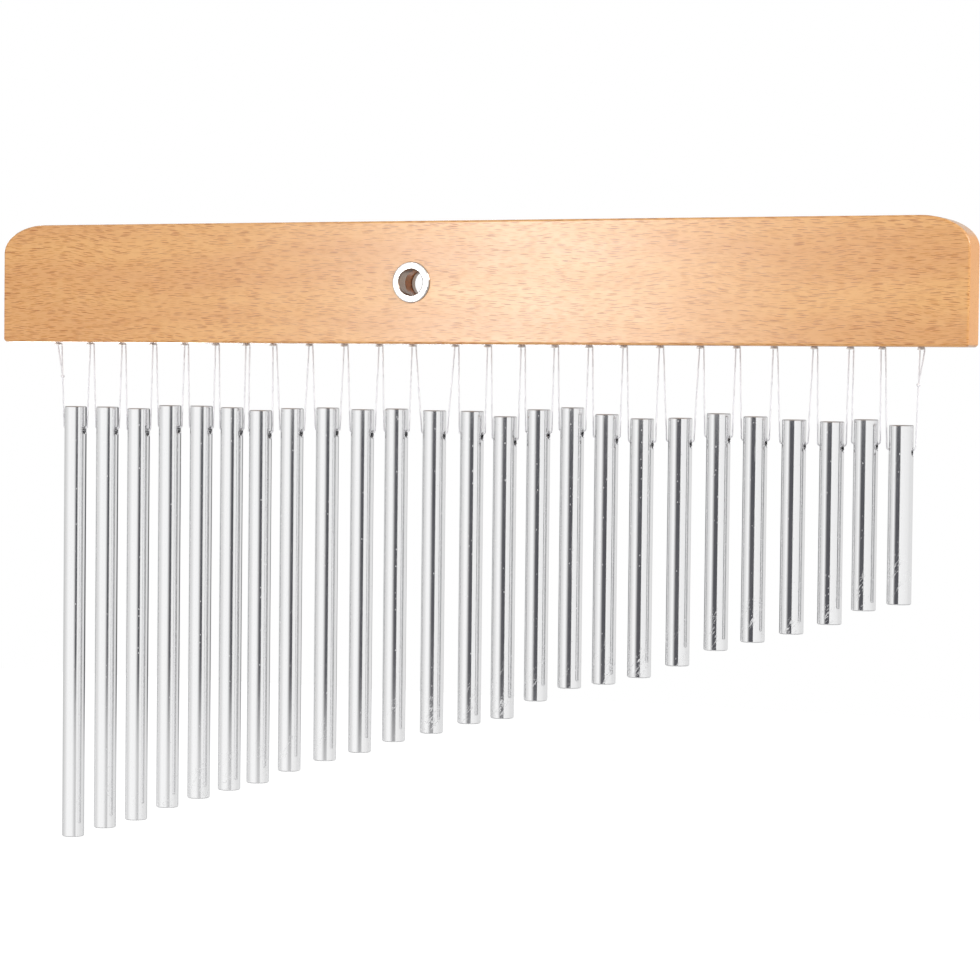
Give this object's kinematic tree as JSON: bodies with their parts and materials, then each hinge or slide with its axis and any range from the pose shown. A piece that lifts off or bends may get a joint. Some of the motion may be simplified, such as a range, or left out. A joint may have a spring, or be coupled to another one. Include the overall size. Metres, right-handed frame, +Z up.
{
  "type": "bar chimes",
  "caption": "Wooden beam with a row of tuned metal bars hung under it on a nylon line; a hand swept along the bars makes them strike each other and ring.",
  "frame": {"origin": "middle of the stand bore, halfway through the beam's thickness", "axes": "+X along the beam towards the short bars, +Y from the front face to the back face, +Z up"},
  "size_m": [0.425, 0.0168, 0.2635],
  "materials": {
    "beech": "satin clear lacquer over beech",
    "polished_bar": "polished, lightly scratched",
    "plated_metal": "bright nickel plate",
    "steel": "dull bright steel",
    "nylon": "clear monofilament"
  },
  "bodies": {
    "beam": {"beam": "beech", "front_eyelet": "plated_metal", "rear_eyelet": "plated_metal", "tacks": "steel", "line_turns": "nylon"},
    "hanger_01": {"hanger_line_01": "nylon"},
    "chime_01": {"bar_01": "polished_bar"},
    "hanger_02": {"hanger_line_02": "nylon"},
    "chime_02": {"bar_02": "polished_bar"},
    "hanger_03": {"hanger_line_03": "nylon"},
    "chime_03": {"bar_03": "polished_bar"},
    "hanger_04": {"hanger_line_04": "nylon"},
    "chime_04": {"bar_04": "polished_bar"},
    "hanger_05": {"hanger_line_05": "nylon"},
    "chime_05": {"bar_05": "polished_bar"},
    "hanger_06": {"hanger_line_06": "nylon"},
    "chime_06": {"bar_06": "polished_bar"},
    "hanger_07": {"hanger_line_07": "nylon"},
    "chime_07": {"bar_07": "polished_bar"},
    "hanger_08": {"hanger_line_08": "nylon"},
    "chime_08": {"bar_08": "polished_bar"},
    "hanger_09": {"hanger_line_09": "nylon"},
    "chime_09": {"bar_09": "polished_bar"},
    "hanger_10": {"hanger_line_10": "nylon"},
    "chime_10": {"bar_10": "polished_bar"},
    "hanger_11": {"hanger_line_11": "nylon"},
    "chime_11": {"bar_11": "polished_bar"},
    "hanger_12": {"hanger_line_12": "nylon"},
    "chime_12": {"bar_12": "polished_bar"},
    "hanger_13": {"hanger_line_13": "nylon"},
    "chime_13": {"bar_13": "polished_bar"},
    "hanger_14": {"hanger_line_14": "nylon"},
    "chime_14": {"bar_14": "polished_bar"},
    "hanger_15": {"hanger_line_15": "nylon"},
    "chime_15": {"bar_15": "polished_bar"},
    "hanger_16": {"hanger_line_16": "nylon"},
    "chime_16": {"bar_16": "polished_bar"},
    "hanger_17": {"hanger_line_17": "nylon"},
    "chime_17": {"bar_17": "polished_bar"},
    "hanger_18": {"hanger_line_18": "nylon"},
    "chime_18": {"bar_18": "polished_bar"},
    "hanger_19": {"hanger_line_19": "nylon"},
    "chime_19": {"bar_19": "polished_bar"},
    "hanger_20": {"hanger_line_20": "nylon"},
    "chime_20": {"bar_20": "polished_bar"},
    "hanger_21": {"hanger_line_21": "nylon"},
    "chime_21": {"bar_21": "polished_bar"},
    "hanger_22": {"hanger_line_22": "nylon"},
    "chime_22": {"bar_22": "polished_bar"},
    "hanger_23": {"hanger_line_23": "nylon"},
    "chime_23": {"bar_23": "polished_bar"},
    "hanger_24": {"hanger_line_24": "nylon"},
    "chime_24": {"bar_24": "polished_bar"},
    "hanger_25": {"hanger_line_25": "nylon"},
    "chime_25": {"bar_25": "polished_bar"}
  },
  "joints": [
    {"name": "bar_01_swing", "type": "hinge", "parent": "beam", "child": "hanger_01", "pos_m": [-0.16283, 0.002, -0.02665], "axis": [1, 0, 0], "range_deg": [-80, 80]},
    {"name": "bar_01_tilt", "type": "hinge", "parent": "hanger_01", "child": "chime_01", "pos_m": [-0.16283, 0.002, -0.0619], "axis": [0, -1, 0], "range_deg": [-2.5, 1.9]},
    {"name": "bar_02_swing", "type": "hinge", "parent": "beam", "child": "hanger_02", "pos_m": [-0.14704, 0.002, -0.02665], "axis": [1, 0, 0], "range_deg": [-80, 80]},
    {"name": "bar_02_tilt", "type": "hinge", "parent": "hanger_02", "child": "chime_02", "pos_m": [-0.14704, 0.002, -0.0619], "axis": [0, -1, 0], "range_deg": [-1.9, 1.8]},
    {"name": "bar_03_swing", "type": "hinge", "parent": "beam", "child": "hanger_03", "pos_m": [-0.13169, 0.002, -0.02665], "axis": [1, 0, 0], "range_deg": [-80, 80]},
    {"name": "bar_03_tilt", "type": "hinge", "parent": "hanger_03", "child": "chime_03", "pos_m": [-0.13169, 0.002, -0.0624], "axis": [0, -1, 0], "range_deg": [-1.8, 1.8]},
    {"name": "bar_04_swing", "type": "hinge", "parent": "beam", "child": "hanger_04", "pos_m": [-0.11649, 0.002, -0.02665], "axis": [1, 0, 0], "range_deg": [-80, 80]},
    {"name": "bar_04_tilt", "type": "hinge", "parent": "hanger_04", "child": "chime_04", "pos_m": [-0.11649, 0.002, -0.0609], "axis": [0, -1, 0], "range_deg": [-1.8, 1.8]},
    {"name": "bar_05_swing", "type": "hinge", "parent": "beam", "child": "hanger_05", "pos_m": [-0.10143, 0.002, -0.02665], "axis": [1, 0, 0], "range_deg": [-80, 80]},
    {"name": "bar_05_tilt", "type": "hinge", "parent": "hanger_05", "child": "chime_05", "pos_m": [-0.10143, 0.002, -0.0609], "axis": [0, -1, 0], "range_deg": [-1.8, 1.7]},
    {"name": "bar_06_swing", "type": "hinge", "parent": "beam", "child": "hanger_06", "pos_m": [-0.08681, 0.002, -0.02665], "axis": [1, 0, 0], "range_deg": [-80, 80]},
    {"name": "bar_06_tilt", "type": "hinge", "parent": "hanger_06", "child": "chime_06", "pos_m": [-0.08681, 0.002, -0.0614], "axis": [0, -1, 0], "range_deg": [-1.7, 1.4]},
    {"name": "bar_07_swing", "type": "hinge", "parent": "beam", "child": "hanger_07", "pos_m": [-0.07322, 0.002, -0.02665], "axis": [1, 0, 0], "range_deg": [-80, 80]},
    {"name": "bar_07_tilt", "type": "hinge", "parent": "hanger_07", "child": "chime_07", "pos_m": [-0.07322, 0.002, -0.0624], "axis": [0, -1, 0], "range_deg": [-1.4, 1.9]},
    {"name": "bar_08_swing", "type": "hinge", "parent": "beam", "child": "hanger_08", "pos_m": [-0.05845, 0.002, -0.02665], "axis": [1, 0, 0], "range_deg": [-80, 80]},
    {"name": "bar_08_tilt", "type": "hinge", "parent": "hanger_08", "child": "chime_08", "pos_m": [-0.05845, 0.002, -0.0614], "axis": [0, -1, 0], "range_deg": [-1.9, 2.5]},
    {"name": "bar_09_swing", "type": "hinge", "parent": "beam", "child": "hanger_09", "pos_m": [-0.04193, 0.002, -0.02665], "axis": [1, 0, 0], "range_deg": [-80, 80]},
    {"name": "bar_09_tilt", "type": "hinge", "parent": "hanger_09", "child": "chime_09", "pos_m": [-0.04193, 0.002, -0.0609], "axis": [0, -1, 0], "range_deg": [-2.5, 2.5]},
    {"name": "bar_10_swing", "type": "hinge", "parent": "beam", "child": "hanger_10", "pos_m": [-0.02585, 0.002, -0.02665], "axis": [1, 0, 0], "range_deg": [-80, 80]},
    {"name": "bar_10_tilt", "type": "hinge", "parent": "hanger_10", "child": "chime_10", "pos_m": [-0.02585, 0.002, -0.0614], "axis": [0, -1, 0], "range_deg": [-2.5, 2.5]},
    {"name": "bar_11_swing", "type": "hinge", "parent": "beam", "child": "hanger_11", "pos_m": [-0.01036, 0.002, -0.02665], "axis": [1, 0, 0], "range_deg": [-80, 80]},
    {"name": "bar_11_tilt", "type": "hinge", "parent": "hanger_11", "child": "chime_11", "pos_m": [-0.01036, 0.002, -0.0609], "axis": [0, -1, 0], "range_deg": [-2.5, 2.5]},
    {"name": "bar_12_swing", "type": "hinge", "parent": "beam", "child": "hanger_12", "pos_m": [0.00675, 0.002, -0.02665], "axis": [1, 0, 0], "range_deg": [-80, 80]},
    {"name": "bar_12_tilt", "type": "hinge", "parent": "hanger_12", "child": "chime_12", "pos_m": [0.00675, 0.002, -0.0614], "axis": [0, -1, 0], "range_deg": [-2.5, 2.5]},
    {"name": "bar_13_swing", "type": "hinge", "parent": "beam", "child": "hanger_13", "pos_m": [0.02356, 0.002, -0.02665], "axis": [1, 0, 0], "range_deg": [-80, 80]},
    {"name": "bar_13_tilt", "type": "hinge", "parent": "hanger_13", "child": "chime_13", "pos_m": [0.02356, 0.002, -0.0614], "axis": [0, -1, 0], "range_deg": [-2.5, 2.3]},
    {"name": "bar_14_swing", "type": "hinge", "parent": "beam", "child": "hanger_14", "pos_m": [0.03818, 0.002, -0.02665], "axis": [1, 0, 0], "range_deg": [-80, 80]},
    {"name": "bar_14_tilt", "type": "hinge", "parent": "hanger_14", "child": "chime_14", "pos_m": [0.03818, 0.002, -0.0634], "axis": [0, -1, 0], "range_deg": [-2.3, 2.5]},
    {"name": "bar_15_swing", "type": "hinge", "parent": "beam", "child": "hanger_15", "pos_m": [0.0528, 0.002, -0.02665], "axis": [1, 0, 0], "range_deg": [-80, 80]},
    {"name": "bar_15_tilt", "type": "hinge", "parent": "hanger_15", "child": "chime_15", "pos_m": [0.0528, 0.002, -0.0604], "axis": [0, -1, 0], "range_deg": [-2.4, 2.5]},
    {"name": "bar_16_swing", "type": "hinge", "parent": "beam", "child": "hanger_16", "pos_m": [0.06742, 0.002, -0.02665], "axis": [1, 0, 0], "range_deg": [-80, 80]},
    {"name": "bar_16_tilt", "type": "hinge", "parent": "hanger_16", "child": "chime_16", "pos_m": [0.06742, 0.002, -0.0594], "axis": [0, -1, 0], "range_deg": [-2.5, 2.5]},
    {"name": "bar_17_swing", "type": "hinge", "parent": "beam", "child": "hanger_17", "pos_m": [0.08218, 0.002, -0.02665], "axis": [1, 0, 0], "range_deg": [-80, 80]},
    {"name": "bar_17_tilt", "type": "hinge", "parent": "hanger_17", "child": "chime_17", "pos_m": [0.08218, 0.002, -0.0619], "axis": [0, -1, 0], "range_deg": [-2.5, 2.5]},
    {"name": "bar_18_swing", "type": "hinge", "parent": "beam", "child": "hanger_18", "pos_m": [0.09724, 0.002, -0.02665], "axis": [1, 0, 0], "range_deg": [-80, 80]},
    {"name": "bar_18_tilt", "type": "hinge", "parent": "hanger_18", "child": "chime_18", "pos_m": [0.09724, 0.002, -0.0634], "axis": [0, -1, 0], "range_deg": [-2.5, 2.5]},
    {"name": "bar_19_swing", "type": "hinge", "parent": "beam", "child": "hanger_19", "pos_m": [0.11332, 0.002, -0.02665], "axis": [1, 0, 0], "range_deg": [-80, 80]},
    {"name": "bar_19_tilt", "type": "hinge", "parent": "hanger_19", "child": "chime_19", "pos_m": [0.11332, 0.002, -0.0629], "axis": [0, -1, 0], "range_deg": [-2.5, 2.5]},
    {"name": "bar_20_swing", "type": "hinge", "parent": "beam", "child": "hanger_20", "pos_m": [0.12926, 0.002, -0.02665], "axis": [1, 0, 0], "range_deg": [-80, 80]},
    {"name": "bar_20_tilt", "type": "hinge", "parent": "hanger_20", "child": "chime_20", "pos_m": [0.12926, 0.002, -0.0609], "axis": [0, -1, 0], "range_deg": [-2.5, 2.5]},
    {"name": "bar_21_swing", "type": "hinge", "parent": "beam", "child": "hanger_21", "pos_m": [0.14446, 0.002, -0.02665], "axis": [1, 0, 0], "range_deg": [-80, 80]},
    {"name": "bar_21_tilt", "type": "hinge", "parent": "hanger_21", "child": "chime_21", "pos_m": [0.14446, 0.002, -0.0619], "axis": [0, -1, 0], "range_deg": [-2.5, 2.5]},
    {"name": "bar_22_swing", "type": "hinge", "parent": "beam", "child": "hanger_22", "pos_m": [0.16025, 0.002, -0.02665], "axis": [1, 0, 0], "range_deg": [-80, 80]},
    {"name": "bar_22_tilt", "type": "hinge", "parent": "hanger_22", "child": "chime_22", "pos_m": [0.16025, 0.002, -0.0629], "axis": [0, -1, 0], "range_deg": [-2.5, 2.5]},
    {"name": "bar_23_swing", "type": "hinge", "parent": "beam", "child": "hanger_23", "pos_m": [0.1756, 0.002, -0.02665], "axis": [1, 0, 0], "range_deg": [-80, 80]},
    {"name": "bar_23_tilt", "type": "hinge", "parent": "hanger_23", "child": "chime_23", "pos_m": [0.1756, 0.002, -0.0634], "axis": [0, -1, 0], "range_deg": [-2.5, 2.5]},
    {"name": "bar_24_swing", "type": "hinge", "parent": "beam", "child": "hanger_24", "pos_m": [0.18919, 0.002, -0.02665], "axis": [1, 0, 0], "range_deg": [-80, 80]},
    {"name": "bar_24_tilt", "type": "hinge", "parent": "hanger_24", "child": "chime_24", "pos_m": [0.18919, 0.002, -0.0624], "axis": [0, -1, 0], "range_deg": [-2.5, 2.5]},
    {"name": "bar_25_swing", "type": "hinge", "parent": "beam", "child": "hanger_25", "pos_m": [0.20323, 0.002, -0.02665], "axis": [1, 0, 0], "range_deg": [-80, 80]},
    {"name": "bar_25_tilt", "type": "hinge", "parent": "hanger_25", "child": "chime_25", "pos_m": [0.20323, 0.002, -0.0644], "axis": [0, -1, 0], "range_deg": [-2.5, 2.5]}
  ]
}
